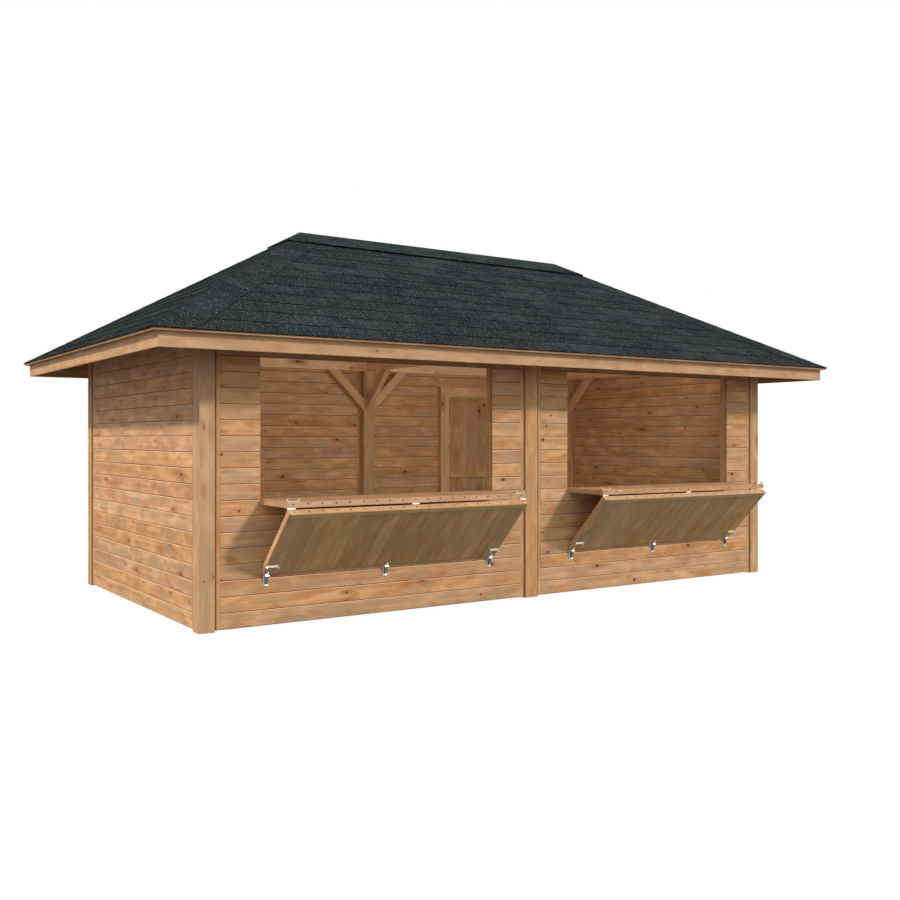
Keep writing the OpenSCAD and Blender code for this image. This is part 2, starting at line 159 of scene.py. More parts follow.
def softwood(name, pale, deep, stain, turn=None, rows=0.13, knots=0.30, chamfer_shade=0.0, sheen=0.2, tones=0.05):
    """Planed softwood: growth bands and fibre along the stick, weather stains and knots, with painted shade
    on downward joint chamfers and a painted highlight on upward ones.
    """
    material = bpy.data.materials.new(name)
    material.use_nodes = True
    tree = material.node_tree
    shader = tree.nodes["Principled BSDF"]
    laid = turn is None
    if laid:
        place = add(tree, "UVMap", uv_map="grain").outputs[0]
    else:
        # sticks without laid fibre: the same on all four sides of the hut, turned to run along the stick
        spot = add(tree, "TexCoord").outputs["Object"]
        spot = add(tree, "VectorMath", {0: spot}, operation="ABSOLUTE").outputs[0]
        place = add(tree, "Mapping", {"Vector": spot, "Rotation": (0, 0, turn)}).outputs[0]
    # knots: one spot in each long cell, left out in most cells
    knot_step = 0.36
    cells = add(tree, "Mapping", {"Vector": place, "Scale": (1 / knot_step, 1 / rows, 1 / rows)}).outputs[0]
    spots = add(tree, "TexVoronoi", {"Vector": cells, "Scale": 1.0},
                voronoi_dimensions="2D" if laid else "3D")
    away = add(tree, "VectorMath", {0: cells, 1: spots.outputs["Position"]}, operation="SUBTRACT").outputs[0]
    chance = add(tree, "SeparateColor", {0: spots.outputs["Color"]}).outputs
    there = calc(tree, "LESS_THAN", chance[0], knots)
    radius = remap(tree, calc(tree, "POWER", chance[1], 1.8), 0.0, 1.0, 0.0050, 0.0165)
    ragged = noise(tree, place, (60.0, 90.0, 90.0), 2.0)
    radius = calc(tree, "MULTIPLY", radius, remap(tree, ragged, 0.2, 0.8, 0.6, 1.4))
    close = add(tree, "VectorMath", {0: away, 1: (knot_step * 0.8, rows, rows)}, operation="MULTIPLY")
    near = add(tree, "VectorMath", {0: close.outputs[0]}, operation="LENGTH").outputs["Value"]
    knot = remap(tree, calc(tree, "DIVIDE", near, radius), 0.6, 1.35, 1.0, 0.0)
    knot = calc(tree, "MULTIPLY", knot, there)
    wide = add(tree, "VectorMath", {0: away, 1: (knot_step * 0.3, rows, rows)}, operation="MULTIPLY")
    spread = add(tree, "VectorMath", {0: wide.outputs[0]}, operation="LENGTH").outputs["Value"]
    halo = remap(tree, calc(tree, "DIVIDE", spread, radius), 0.6, 3.6, 0.85, 0.0)
    halo = calc(tree, "MULTIPLY", halo, calc(tree, "MULTIPLY", there, chance[2]))
    # growth bands bend round the halos
    shifted = add(tree, "CombineXYZ", {1: calc(tree, "MULTIPLY", halo, 0.03)}).outputs[0]
    bent = add(tree, "VectorMath", {0: place, 1: shifted}, operation="ADD").outputs[0]
    bands = noise(tree, bent, (1.3, 28.0, 28.0), 3.0, 0.4)
    fibre = noise(tree, bent, (14.0, 420.0, 420.0), 2.0)
    patches = noise(tree, place, (3.2, 8.0, 8.0), 4.0, 0.3)
    warmth = noise(tree, place, (5.0, 12.0, 12.0), 4.0, 0.3)
    colour = mixed(tree, remap(tree, bands, 0.3, 0.7, 0.0, 1.0), pale, deep)
    bleached = mixed(tree, 1.0, pale, (1.16, 1.18, 1.20, 1.0), "MULTIPLY")
    colour = mixed(tree, remap(tree, patches, 0.26, 0.54, 0.85, 0.0), colour, bleached)
    colour = mixed(tree, remap(tree, patches, 0.46, 0.74, 0.0, 0.95), colour, stain)
    burnt = mixed(tree, 1.0, deep, (0.98, 0.78, 0.62, 1.0), "MULTIPLY")
    colour = mixed(tree, remap(tree, warmth, 0.46, 0.74, 0.0, 0.85), colour, burnt)
    colour = mixed(tree, remap(tree, fibre, 0.35, 0.65, 0.0, 0.10), colour, (0.22, 0.11, 0.05, 1.0))
    if laid:
        tone = add(tree, "VertexColor", layer_name="tone").outputs
        own = add(tree, "SeparateColor", {0: tone[0]}).outputs
        inputs = {"Hue": remap(tree, own[1], 0.0, 1.0, 0.4975, 0.5025), "Color": colour,
                  "Saturation": remap(tree, own[2], 0.0, 1.0, 0.94, 1.05),
                  "Value": remap(tree, own[0], 0.0, 1.0, 1.0 - tones, 1.0 + tones)}
        colour = add(tree, "HueSaturation", inputs).outputs[0]
    colour = mixed(tree, halo, colour, (0.36, 0.13, 0.05, 1.0))
    colour = mixed(tree, calc(tree, "MULTIPLY", knot, 0.9), colour, (0.11, 0.036, 0.014, 1.0))
    # painted shade: the downward chamfer of each joint is darkened
    if chamfer_shade:
        painted_chamfer_shade = remap(tree, tone[1], 0.0, 0.4, chamfer_shade, 0.0)
        colour = mixed(tree, painted_chamfer_shade, colour, (0.17, 0.030, 0.005, 1.0))
        # painted highlight: the upward chamfer of each joint is lightened
        painted_chamfer_highlight = calc(tree, "LESS_THAN", calc(tree, "ABSOLUTE", calc(tree, "SUBTRACT", tone[1], 0.5)), 0.1)
        colour = mixed(tree, calc(tree, "MULTIPLY", painted_chamfer_highlight, 0.6), colour, (0.88, 0.58, 0.33, 1.0))
    tree.links.new(colour, shader.inputs["Base Color"])
    tree.links.new(remap(tree, bands, 0.3, 0.7, 0.58, 0.74), shader.inputs["Roughness"])
    shader.inputs["Specular IOR Level"].default_value = sheen
    relief = add(tree, "Bump", {"Strength": 0.35, "Distance": 0.0012, "Height": fibre})
    tree.links.new(relief.outputs[0], shader.inputs["Normal"])
    return material


frame_wood = softwood("frame_wood", (0.60, 0.345, 0.170, 1), (0.50, 0.275, 0.128, 1),
                      (0.48, 0.305, 0.165, 1))
posts = workpiece()
for x0, x1 in ((-half_l, -bay_out), (-bay_in, bay_in), (bay_out, half_l)):
    for y in (-half_w, half_w - post_side):
        timber(posts, (x0, y, 0), (x1, y + post_side, post_top), along_z, post_ease)
piece("post_timbers", posts, frame_wood, "hut", "wood", "corner_posts", "middle_posts")

# Plates and tie beam: sticks of the same softwood laid on top of the posts. The long plates run through,
# the end plates and the tie beam are butted between them and screwed.
plate_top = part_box("long_plates")[1].z
# the plates' wood is painted much paler than the posts' to stand for the light that falls on them inside
plate_painted_light_wood = softwood("plate_painted_light_wood", (0.93, 0.60, 0.34, 1), (0.84, 0.525, 0.285, 1), (0.80, 0.54, 0.32, 1))
plates = workpiece()
for side in (-1, 1):
    low_y, high_y = sorted((side * (half_w - post_side), side * half_w))
    timber(plates, (-half_l, low_y, post_top), (half_l, high_y, plate_top), along_x, post_ease)
for low, high in (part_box("tie_beam"), ((-half_l, 0, 0), (post_side - half_l, 0, 0)),
                  ((half_l - post_side, 0, 0), (half_l, 0, 0))):
    reach = half_w - post_side
    timber(plates, (low[0], -reach, post_top), (high[0], reach, plate_top), along_y, post_ease)
piece("plate_timbers", plates, plate_painted_light_wood, "hut", "wood", "long_plates", "end_plates", "tie_beam")

# Braces: short sticks at 45 degrees between the back posts and the plates above, and one up to the tie beam.
# Their ends are sawn level and plumb so that they sit flat on post and plate.
brace_low, brace_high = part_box("tie_brace")
brace_t = brace_high.x - brace_low.x
brace_leg = brace_high.z - brace_low.z
brace_face = 0.092
brace_ease = 0.004
inner_wood = softwood("inner_wood", (0.77, 0.48, 0.255, 1), (0.67, 0.40, 0.205, 1),
                      (0.62, 0.41, 0.23, 1), knots=0.15)


def brace(mesh, foot, out, depth):
    """A brace from a point on a post's side, leaning out to the plate, as deep as the vector says."""
    saw = brace_face * math.sqrt(2)
    rise = along_z * brace_leg
    heel = foot + along_z * saw
    outline = [foot, foot + out * brace_leg + rise, foot + out * (brace_leg - saw) + rise, heel]
    prism(mesh, outline, depth, (out + along_z).normalized(), brace_ease)


def prism(mesh, outline, push, along, ease):
    """A flat outline pushed along a vector, with its edges eased."""
    known = set(mesh.faces)
    base = mesh.faces.new([mesh.verts.new(spot) for spot in outline])
    moved = bmesh.ops.extrude_face_region(mesh, geom=[base])["geom"]
    bmesh.ops.translate(mesh, vec=push, verts=[v for v in moved if isinstance(v, bmesh.types.BMVert)])
    fresh = [face for face in mesh.faces if face not in known]
    bmesh.ops.recalc_face_normals(mesh, faces=fresh)
    edges = list({bitumen_black_and_painted_shade for face in fresh for bitumen_black_and_painted_shade in face.edges})
    bmesh.ops.bevel(mesh, geom=edges, offset=ease, segments=1, profile=0.5, affect="EDGES", material=-1)
    fresh = [face for face in mesh.faces if face not in known]
    lay_grain(mesh, fresh, along)
    return fresh


braces = workpiece()
back_in = half_w - post_side
foot_z = post_top - brace_leg
for side in (-1, 1):
    for x, lean in ((bay_in, 1), (bay_out, -1)):
        foot = Vector((side * x, back_in, foot_z))
        brace(braces, foot, along_x * side * lean, along_y * brace_t)
    foot = Vector((side * (half_l - post_side), back_in, foot_z))
    brace(braces, foot, -along_y, along_x * side * brace_t)
brace(braces, Vector((-brace_t / 2, back_in, foot_z)), -along_y, along_x * brace_t)
piece("brace_timbers", braces, inner_wood, "hut", "wood", "back_braces", "end_braces", "tie_brace")

# Board walls: level tongued boards nailed between the posts, set back a little from the posts' outer faces.
# Each board has chamfered edges, so that every joint is a narrow V on both sides. An upright lath closes
# the boards' ends beside each post, with a narrow dark slot between lath and post.
apron_low, apron_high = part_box("front_aprons")
board_rows = 8
board_pitch = (apron_high.z - apron_low.z) / board_rows
board_ease = 0.0055
edge_slot, edge_lath = 0.013, 0.030
slot_depth, slot_ease, lath_ease = 0.018, 0.001, 0.003
wall_wood = softwood("wall_wood", (0.660, 0.374, 0.184, 1), (0.500, 0.266, 0.119, 1),
                     (0.460, 0.306, 0.178, 1), rows=board_pitch, chamfer_shade=0.9)
# the end walls' boards are the same wood as the others; this copy is toned for the light on those sides and
# carries stronger painted joint shade
end_wall_painted_light_wood = softwood("end_wall_painted_light_wood", (0.675, 0.372, 0.174, 1), (0.495, 0.250, 0.106, 1),
                    (0.440, 0.285, 0.158, 1), rows=board_pitch, chamfer_shade=1.0, tones=0.07)


def lay_boards(mesh, low, high, along):
    """Level boards from the foot of a wall to its top, the last one ripped to fit."""
    z = low[2]
    while high[2] - z > 2 * board_ease:
        top = min(z + board_pitch, high[2])
        timber(mesh, (low[0], low[1], z), (high[0], high[1], top), along, board_ease)
        z = top


def edge_strips(mesh, low, high, at, inward, outside):
    """The edge of a wall panel beside a post: a dark slot, backed by a thin strip, and an upright lath."""
    end, start = Vector(high), Vector(low)
    axis = 0 if abs(inward.x) > 0.5 else 1
    across = 1 - axis
    slot_low, slot_high, lath_low, lath_high = start.copy(), end.copy(), start.copy(), end.copy()
    bitumen_black_and_painted_shade = at + inward[axis] * edge_slot
    slot_low[axis], slot_high[axis] = sorted((at, bitumen_black_and_painted_shade))
    lath_low[axis], lath_high[axis] = sorted((bitumen_black_and_painted_shade, bitumen_black_and_painted_shade + inward[axis] * edge_lath))
    if outside[across] > 0:
        slot_high[across] -= slot_depth
    else:
        slot_low[across] += slot_depth
    timber(mesh, slot_low, slot_high, along_z, slot_ease)
    timber(mesh, lath_low, lath_high, along_z, lath_ease)


strip_w = edge_slot + edge_lath
for name, out, wood in (("left_wall", -along_x, end_wall_painted_light_wood), ("right_wall", along_x, wall_wood)):
    boards = workpiece()
    low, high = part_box(name)
    edge_strips(boards, low, high, low.y, along_y, out)
    edge_strips(boards, low, high, high.y, -along_y, out)
    lay_boards(boards, low + along_y * strip_w, high - along_y * strip_w, along_y)
    piece(name + "_boards", boards, wood, "hut", "wood", name)

boards = workpiece()
back_bays = {"back_wall_left": (True, True), "back_wall_middle": (True, False),
             "back_wall_right": (False, True), "back_wall_over_door": (False, False)}
for name, (first, last) in back_bays.items():
    low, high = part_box(name)
    if first:
        edge_strips(boards, low, high, low.x, along_x, along_y)
    if last:
        edge_strips(boards, low, high, high.x, -along_x, along_y)
    lay_boards(boards, low + along_x * strip_w * first, high - along_x * strip_w * last, along_x)
piece("back_wall_boards", boards, wall_wood, "hut", "wood", *back_bays)

boards = workpiece()
sill_low, sill_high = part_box("sill_rails")
open_out = sill_high.x
open_in = bay_in + bay_out - open_out
sill_z, head_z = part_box("front_side_boards")[0].z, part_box("front_side_boards")[1].z
face_y, inner_y = apron_low.y, apron_high.y
board_in, board_out = bay_in + strip_w, bay_out - strip_w
for side in (-1, 1):
    for at, inward in ((bay_in, 1), (bay_out, -1)):
        low, high = Vector((0, face_y, apron_low.z)), Vector((0, inner_y, post_top))
        edge_strips(boards, low, high, side * at, along_x * side * inward, -along_y)
    for x0, x1, z0, z1 in ((board_in, board_out, apron_low.z, sill_z), (board_in, open_in, sill_z, head_z),
                           (open_out, board_out, sill_z, head_z), (board_in, board_out, head_z, post_top)):
        low_x, high_x = sorted((side * x0, side * x1))
        lay_boards(boards, (low_x, face_y, z0), (high_x, inner_y, z1), along_x)
piece("front_wall_boards", boards, wall_wood, "hut", "wood", "front_aprons", "front_side_boards",
      "front_headers")

# Studs and sill rails: small square sticks screwed behind the boards round each serving opening.
# They stiffen the cut ends of the boards and carry the counter's back edge.
stud = sill_high.z - sill_low.z
stud_ease = 0.003
studs = workpiece()
for side in (-1, 1):
    for x0, x1 in ((open_in - stud, open_in), (open_out, open_out + stud)):
        low_x, high_x = sorted((side * x0, side * x1))
        timber(studs, (low_x, inner_y, apron_low.z), (high_x, inner_y + stud, post_top), along_z, stud_ease)
    low_x, high_x = sorted((side * open_in, side * open_out))
    timber(studs, (low_x, inner_y, sill_low.z), (high_x, inner_y + stud, sill_z), along_x, stud_ease)
piece("opening_frames", studs, inner_wood, "hut", "wood", "opening_studs", "sill_rails")

# Counters: shelves of boards that run from the wall to the front, closed by a screwed lath along the front
# edge. The screw heads sit a little below the lath's face.
lath, lath_edge, shelf_ease, shelf_gap = 0.020, 0.0025, 0.002, 0.0004
screw_r, screw_step, screw_in, screw_up, screw_sunk = 0.0065, 0.112, 0.045, 0.005, 0.0003
counter_wood = softwood("counter_wood", (0.64, 0.368, 0.195, 1), (0.54, 0.30, 0.148, 1),
                        (0.52, 0.325, 0.185, 1), knots=0.06)


def plated(name, pale, deep, metal, low, high):
    """Steel under a thin coat: cloudy colour and sheen."""
    material = bpy.data.materials.new(name)
    material.use_nodes = True
    tree = material.node_tree
    shader = tree.nodes["Principled BSDF"]
    spot = add(tree, "TexCoord").outputs["Object"]
    clouds = noise(tree, spot, (90.0, 90.0, 90.0), 3.0)
    colour = mixed(tree, remap(tree, clouds, 0.35, 0.65, 0.0, 1.0), pale, deep)
    tree.links.new(colour, shader.inputs["Base Color"])
    tree.links.new(remap(tree, clouds, 0.3, 0.7, low, high), shader.inputs["Roughness"])
    shader.inputs["Metallic"].default_value = metal
    return material


screw_steel = plated("screw_steel", (0.07, 0.035, 0.02, 1), (0.045, 0.022, 0.013, 1), 0.1, 0.6, 0.8)


def screw_row(mesh, start, along, out, count):
    """Countersunk screw heads in a row: low discs that face out of the wood."""
    turn = out.to_track_quat("Z", "Y").to_matrix().to_4x4()
    for index in range(count):
        spot = start + along * (index * screw_step)
        made = bmesh.ops.create_circle(mesh, cap_ends=True, cap_tris=False, segments=10, radius=screw_r)
        bmesh.ops.transform(mesh, matrix=Matrix.Translation(spot) @ turn, verts=made["verts"])
        head = made["verts"][0].link_faces[0]
        bmesh.ops.inset_individual(mesh, faces=[head], thickness=screw_r * 0.4)
        bmesh.ops.translate(mesh, vec=-out * screw_sunk, verts=head.verts[:])


def board_shelf(mesh, lath_mesh, width, depth, thick, place, rim=0.0):
    """A shelf of boards that run front to back, in its own frame: x along, y from the lath, z up.
    With a rim it has a lath along each end too."""
    count = round((width - 2 * rim) / board_pitch)
    step = (width - 2 * rim) / count
    for index in range(count):
        x = rim + index * step
        timber(mesh, (x + shelf_gap, lath, 0), (x + step - shelf_gap, depth, thick), along_y, shelf_ease,
               place)
    timber(lath_mesh, (0, 0, 0), (width, lath, thick), along_x, lath_edge, place)
    for x in (0, width - rim) if rim else ():
        timber(lath_mesh, (x, lath, 0), (x + rim, depth, thick), along_y, lath_edge, place)


screws = bmesh.new()
for name in ("left_counter", "right_counter"):
    low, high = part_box(name)
    shelf = workpiece()
    board_shelf(shelf, shelf, high.x - low.x, high.y - low.y, high.z - low.z, Matrix.Translation(low))
    piece(name + "_shelf", shelf, counter_wood, "hut", "wood", name)
    count = int((high.x - low.x - 2 * screw_in) / screw_step) + 1
    start = Vector((low.x + screw_in, low.y - shelf_gap, (low.z + high.z) / 2 + screw_up))
    screw_row(screws, start, along_x, -along_y, count)

# Flaps: leaves of upright boards that hang from the counter's front edge and lean back to the wall.
# A lath along the top edge takes the hinges, a thin one closes each end, and a batten is nailed across the
# boards on the outer face, just below the top lath.
counter_low, counter_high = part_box("left_counter")
counter_t = counter_high.z - counter_low.z
fold = Vector((0, counter_low.y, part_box("left_flap")[1].z))
flap_len = 0.658
tilt = math.acos((face_y - fold.y) / flap_len)
flap_rim, batten, batten_proud, batten_in = 0.012, 0.038, 0.004, 0.014
flap_wood = softwood("flap_wood", (0.50, 0.325, 0.15, 1), (0.45, 0.285, 0.132, 1), (0.41, 0.288, 0.14, 1),
                     knots=0.0, chamfer_shade=0.04, tones=0.10)
# the batten's downward chamfer carries a strong painted shade line and its upward chamfer a painted
# highlight
batten_wood = softwood("batten_wood", (0.51, 0.36, 0.17, 1), (0.465, 0.325, 0.15, 1),
                       (0.42, 0.315, 0.155, 1), knots=0.0, chamfer_shade=0.85)


def on_flap(x):
    """The flap's own frame at x: x along the fold, y down the flap, z out of its inner face."""
    return Matrix.Translation((x, fold.y, fold.z)) @ Matrix.Rotation(-tilt, 4, "X")


for name in ("left_flap", "right_flap"):
    low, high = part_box(name)
    width = high.x - low.x
    leaf, top_lath = workpiece(), workpiece()
    place = on_flap(low.x)
    outer = place @ Matrix.Translation((0, 0, -counter_t))
    board_shelf(leaf, top_lath, width, flap_len, counter_t, outer, flap_rim)
    strip = workpiece()
    timber(strip, (batten_in, lath_edge, -batten_proud), (width - batten_in, batten, 0), along_x,
           batten_proud, outer)
    piece(name + "_leaf", leaf, flap_wood, "hut", "wood", name)
    piece(name + "_lath", top_lath, counter_wood, "hut", "wood")
    piece(name + "_batten", strip, batten_wood, "hut", "wood")
    count = int((width - 2 * screw_in) / screw_step) + 1
    start = place @ Vector((screw_in, -shelf_gap, -counter_t / 2))
    screw_row(screws, start, along_x, -(place.to_3x3() @ along_y), count)
piece("counter_screws", screws, screw_steel, "hut", "steel")

# Fold hinges, bar brackets and latches: bent and pressed steel under bright zinc. The brackets hold a
# locking bar when the hatch is shut. The latches clamp the flap's foot to the wall, each by a painted
# lever.
zinc = plated("zinc", (0.93, 0.93, 0.92, 1), (0.78, 0.79, 0.79, 1), 0.85, 0.28, 0.5)
lever_paint = plated("lever_paint", (0.13, 0.15, 0.125, 1), (0.09, 0.105, 0.09, 1), 0.1, 0.35, 0.5)
bracket_l, bracket_w, bracket_t, bracket_h, bracket_bend = 0.092, 0.022, 0.004, 0.022, 0.008
bracket_end, bracket_back, bracket_foot = 0.004, 0.008, 0.100
latch_w, latch_h, latch_inset, latch_plate, latch_block = 0.036, 0.084, 0.038, 0.004, 0.016
latch_gap, lever_w, lever_foot, hook_w, hook_t, hook_l = 0.004, 0.022, 0.012, 0.014, 0.004, 0.026
bracket_ease, plate_ease, block_ease, lever_ease = 0.0006, 0.001, 0.005, 0.0015
foot_in, foot_ease = 0.001, 0.002


def keep(material, *names):
    """Pieces that stay as they were built, in their own material."""
    for name in names:
        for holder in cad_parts[name].material_slots:
            holder.material = material


def bar_bracket(mesh, place):
    """A strip with both ends bent up, in a frame with x along it and z out of the wood."""
    half = bracket_l / 2
    outer, inner = [(-half, bracket_h)], [(bracket_t - half, bracket_h)]
    for side, first in ((-1, 180), (1, 270)):
        middle = side * (half - bracket_bend)
        for step in range(5):
            angle = math.radians(first + step * 22.5)
            for line, radius in ((outer, bracket_bend), (inner, bracket_bend - bracket_t)):
                line.append((middle + radius * math.cos(angle), bracket_bend + radius * math.sin(angle)))
    outer.append((half, bracket_h))
    inner.append((half - bracket_t, bracket_h))
    outline = [place @ Vector((x, 0, z)) for x, z in outer + inner[::-1]]
    turned = place.to_3x3()
    prism(mesh, outline, turned @ along_y * bracket_w, turned @ along_x, bracket_ease)


keep(zinc, "fold_hinges")
brackets, clamps, levers = workpiece(), workpiece(), workpiece()
foot_out = -counter_t * math.sin(tilt)
foot_z = fold.z - flap_len * math.sin(tilt) - counter_t * math.cos(tilt)
clamp_top = foot_z - latch_gap
for name in ("left_counter", "right_counter"):
    low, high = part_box(name)
    for x in (low.x + bracket_end + bracket_l / 2, high.x - bracket_end - bracket_l / 2):
        bar_bracket(brackets, Matrix.Translation((x, low.y + bracket_back, high.z)))
        down = Matrix.Translation((0, flap_len - bracket_foot, -counter_t))
        down = down @ Matrix.Rotation(math.pi, 4, "Y")
        bar_bracket(brackets, on_flap(x) @ down)
    for x in (low.x + latch_inset, (low.x + high.x) / 2, high.x - latch_inset):
        block_y = face_y + foot_out - hook_t
        timber(clamps, (x - latch_w / 2, face_y - latch_plate, clamp_top - latch_h),
               (x + latch_w / 2, face_y, clamp_top), along_z, plate_ease)
        timber(clamps, (x - latch_w / 2, block_y, clamp_top - latch_block),
               (x + latch_w / 2, face_y - latch_plate, clamp_top), along_x, block_ease)
        timber(clamps, (-hook_w / 2, flap_len - hook_l, -counter_t - hook_t),
               (hook_w / 2, flap_len + latch_gap, -counter_t), along_y, plate_ease, on_flap(x))
        tip_z = clamp_top - latch_h + lever_foot
        side_view = [(face_y - latch_plate, tip_z), (face_y - latch_plate, clamp_top - latch_block),
                     (block_y + hook_t, clamp_top - latch_block), (face_y - latch_plate - lever_foot, tip_z)]
        outline = [Vector((x - lever_w / 2, y, z)) for y, z in side_view]
        prism(levers, outline, along_x * lever_w, along_z, lever_ease)
        timber(clamps, (x - lever_w / 2 + foot_in, face_y - latch_plate - lever_foot, tip_z - lever_foot),
               (x + lever_w / 2 - foot_in, face_y - latch_plate, tip_z), along_x, foot_ease)
piece("bracket_strips", brackets, zinc, "hut", "steel", "bar_brackets")
piece("latch_clamps", clamps, zinc, "hut", "steel", "flap_latches")
piece("latch_levers", levers, lever_paint, "hut", "steel")

# Door frame: jambs and a head of thick planks between the back wall's boards, flush with the wall outside.
# Thin stop strips nailed to them stand behind the leaf. The pins are screwed to the left jamb.
frames = workpiece()
jamb_ease, stop_ease = 0.003, 0.002
jamb_low, jamb_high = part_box("door_jambs")
head_low, head_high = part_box("door_head")
for x0, x1 in ((jamb_low.x, head_low.x), (head_high.x, jamb_high.x)):
    timber(frames, (x0, jamb_low.y, jamb_low.z), (x1, jamb_high.y, jamb_high.z), along_z, jamb_ease)
timber(frames, head_low, head_high, along_x, jamb_ease)
stop_low, stop_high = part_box("door_stops")
stop_w = 0.024
for x in (stop_low.x, stop_high.x - stop_w):
    timber(frames, (x, stop_low.y, stop_low.z), (x + stop_w, stop_high.y, stop_high.z), along_z, stop_ease)
timber(frames, (stop_low.x + stop_w, stop_low.y, stop_high.z - stop_w),
       (stop_high.x - stop_w, stop_high.y, stop_high.z), along_x, stop_ease)
piece("door_frame_timbers", frames, inner_wood, "hut", "wood", "door_jambs", "door_head", "door_stops")
keep(zinc, "door_pins")

# Door leaf: upright tongued boards screwed to a frame of stiles and rails on the inner face.
# Zinc plated straps turn on the pins, and a lever handle sits on a plate near the free edge.
leaf = workpiece()
leaf_low, leaf_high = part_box("door_leaf")
leaf_count, leaf_ease = 8, 0.004
leaf_step = (leaf_high.x - leaf_low.x) / leaf_count
for index in range(leaf_count):
    x = leaf_low.x + index * leaf_step
    timber(leaf, (x, leaf_low.y, leaf_low.z), (x + leaf_step, leaf_high.y, leaf_high.z), along_z, leaf_ease)
leaf_wood = softwood("leaf_wood", (0.57, 0.325, 0.165, 1), (0.47, 0.258, 0.122, 1),
                     (0.44, 0.275, 0.15, 1), rows=leaf_step)
piece("door_leaf_boards", leaf, leaf_wood, "door", "wood", "door_leaf")
rails = workpiece()
rail_low, rail_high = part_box("door_rails")
stile_w, mid_rail_z, mid_rail_h = 0.072, 0.920, 0.078
for x in (rail_low.x, rail_high.x - stile_w):
    timber(rails, (x, rail_low.y, rail_low.z), (x + stile_w, rail_high.y, rail_high.z), along_z, jamb_ease)
for z0, z1 in ((rail_low.z, rail_low.z + stile_w), (mid_rail_z, mid_rail_z + mid_rail_h),
               (rail_high.z - stile_w, rail_high.z)):
    timber(rails, (rail_low.x + stile_w, rail_low.y, z0), (rail_high.x - stile_w, rail_high.y, z1), along_x,
           jamb_ease)
piece("door_rail_timbers", rails, frame_wood, "door", "wood", "door_rails")
keep(zinc, "door_straps", "door_handle")

# Soffits and fascias: thin boards under the eaves that run round the hut and rise to the wall, closed in
# front by fascia boards with mitred corners. All are nailed to the tails of the rafters.
eave_wood = softwood("eave_wood", (0.58, 0.335, 0.165, 1), (0.50, 0.278, 0.128, 1), (0.47, 0.295, 0.155, 1),
                     knots=0.12)
# the soffit boards are painted far darker than the fascia's wood to stand for the deep shade under the eaves
soffit_painted_shade_wood = softwood("soffit_painted_shade_wood", (0.33, 0.19, 0.092, 1), (0.27, 0.15, 0.07, 1), (0.25, 0.155, 0.085, 1),
                       knots=0.08, sheen=0.0)
soffit_low, soffit_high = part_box("long_soffits")
soffit_rows, soffit_ease = 4, 0.003
soffit_reach, soffit_lift = soffit_high.y - half_w, 0.122
soffit_step = soffit_reach / soffit_rows
wall_x, wall_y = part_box("left_wall")[0].x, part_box("back_wall_left")[1].y
soffits = workpiece()


def soffit_board(x0, x1, y0, y1, along):
    """One soffit board between two lines, in whatever order they come."""
    low_x, high_x = sorted((x0, x1))
    low_y, high_y = sorted((y0, y1))
    timber(soffits, (low_x, low_y, soffit_low.z), (high_x, high_y, soffit_high.z), along, soffit_ease)


for side in (-1, 1):
    for x0, x1 in ((-soffit_high.x, -half_l), (-bay_out, -bay_in), (bay_in, bay_out),
                   (half_l, soffit_high.x)):
        soffit_board(x0, x1, side * wall_y, side * half_w, along_x)
    soffit_board(side * -wall_x, side * half_l, -back_in, back_in, along_y)
    for index in range(soffit_rows):
        near, far = index * soffit_step, (index + 1) * soffit_step
        soffit_board(-soffit_high.x, soffit_high.x, side * (half_w + near), side * (half_w + far), along_x)
        soffit_board(side * (half_l + near), side * (half_l + far), -wall_y, wall_y, along_y)
# the boards are creased along the diagonal of each corner and lifted from the fascia to the wall
for x, y in ((-1, -1), (1, -1), (1, 1), (-1, 1)):
    everything = soffits.verts[:] + soffits.edges[:] + soffits.faces[:]
    corner = Vector((x * half_l, y * half_w, 0))
    past = Vector((x, -y, 0)).normalized()
    bmesh.ops.bisect_plane(soffits, geom=everything, plane_co=corner, plane_no=past)
for vert in soffits.verts:
    reach = max(abs(vert.co.x) - half_l, abs(vert.co.y) - half_w, 0)
    vert.co.z += soffit_lift * (1 - reach / soffit_reach)
piece("soffit_boards", soffits, soffit_painted_shade_wood, "hut", "wood", "long_soffits", "end_soffits")

fascias = workpiece()
fascia_low, fascia_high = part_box("long_fascias")
fascia_t, fascia_ease = fascia_high.y - soffit_high.y, 0.002
for out, along, reach, half in ((along_y, along_x, fascia_high.y, fascia_high.x),
                                (along_x, along_y, fascia_high.x, fascia_high.y)):
    for side in (-1, 1):
        mitred = half - fascia_t
        outline = [side * out * (reach - depth) + along * end + along_z * fascia_low.z
                   for depth, end in ((0, -half), (0, half), (fascia_t, mitred), (fascia_t, -mitred))]
        prism(fascias, outline, along_z * (fascia_high.z - fascia_low.z), along, fascia_ease)
piece("fascia_boards", fascias, eave_wood, "hut", "wood", "long_fascias", "end_fascias")

# Rafters, hip rafters and ridge beam: rough sawn sticks under the roof boards, cut over the plates and
# nailed. They stay as built, and their fibre is turned to run along them.
for name, turn in (("rafters", -math.pi / 2), ("hip_rafters", -math.pi / 4), ("ridge_beam", 0.0)):
    sawn_wood = softwood(name + "_wood", (0.52, 0.31, 0.17, 1), (0.41, 0.23, 0.12, 1),
                         (0.38, 0.26, 0.16, 1), turn)
    keep(sawn_wood, name)

